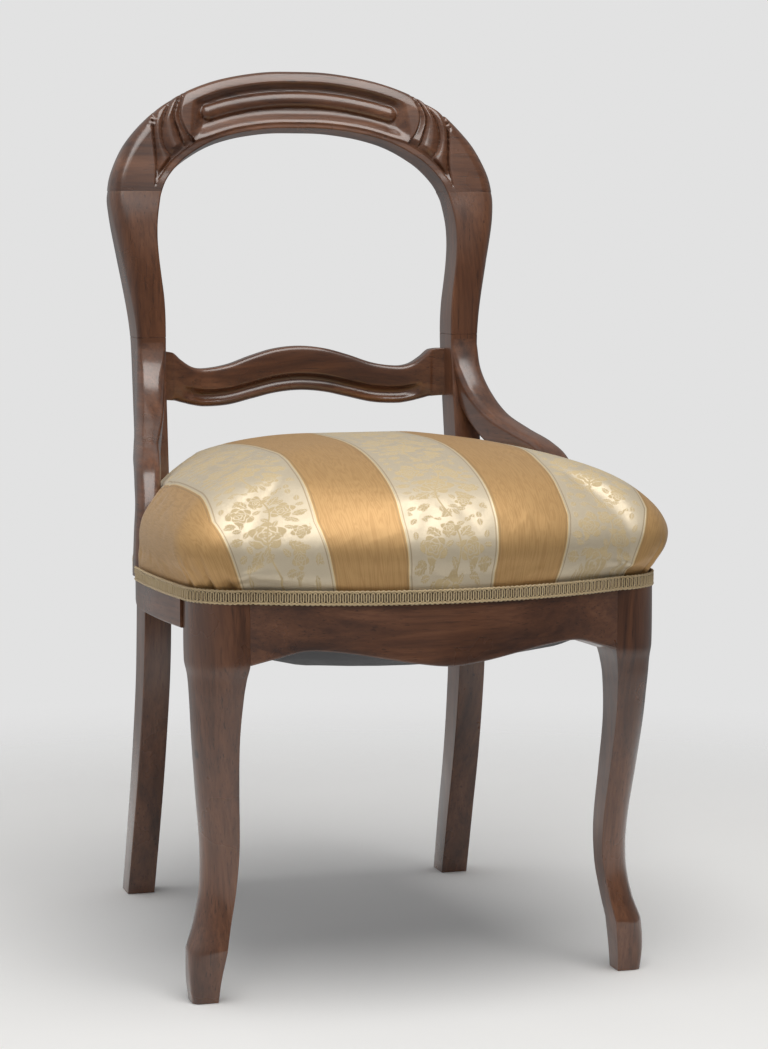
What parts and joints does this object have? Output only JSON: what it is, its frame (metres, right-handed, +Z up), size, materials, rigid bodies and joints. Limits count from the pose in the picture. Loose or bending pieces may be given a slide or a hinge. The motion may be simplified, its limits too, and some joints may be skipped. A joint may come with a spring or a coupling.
{
  "type": "balloon back side chair",
  "caption": "Victorian balloon back side chair: arched carved crest, waved middle rail, hip braces, cabriole front legs and a sprung seat in striped brocade with gimp braid",
  "frame": {"origin": "on the floor, midway between the sides and midway between the front of the seat and the backs of the rear feet", "axes": "+X to the right of someone who faces the chair, +Y to the chair's back, +Z up; the chair faces -Y"},
  "size_m": [0.4906, 0.5806, 0.881],
  "materials": {
    "walnut": "satin varnish",
    "beech": "unfinished",
    "iron": "dark",
    "spring_steel": "coppered wire, dulled",
    "webbing": "jute",
    "canvas": "hessian",
    "horsehair": "curled hair",
    "brocade": "striped silk brocade, gold and cream",
    "gimp": "scrolled braid",
    "cambric": "dyed cotton"
  },
  "bodies": {
    "root": {"crest_rail": "walnut", "mid_rail": "walnut", "left_back_post": "walnut", "right_back_post": "walnut", "left_hip_brace": "walnut", "right_hip_brace": "walnut", "left_front_leg": "walnut", "right_front_leg": "walnut", "front_seat_rail": "walnut", "left_seat_rail": "walnut", "right_seat_rail": "walnut", "back_seat_rail": "walnut", "left_front_block": "beech", "right_front_block": "beech", "left_back_block": "beech", "right_back_block": "beech", "crest_dowel_1": "beech", "crest_dowel_2": "beech", "crest_dowel_3": "beech", "crest_dowel_4": "beech", "brace_screw_1": "iron", "brace_screw_2": "iron", "brace_screw_3": "iron", "brace_screw_4": "iron", "coil_spring_1": "spring_steel", "coil_spring_2": "spring_steel", "coil_spring_3": "spring_steel", "coil_spring_4": "spring_steel", "coil_spring_5": "spring_steel", "long_web_1": "webbing", "long_web_2": "webbing", "long_web_3": "webbing", "cross_web_1": "webbing", "cross_web_2": "webbing", "cross_web_3": "webbing", "spring_canvas": "canvas", "stuffing": "horsehair", "seat_cover": "brocade", "gimp_braid": "gimp", "dust_cover": "cambric"}
  },
  "joints": []
}
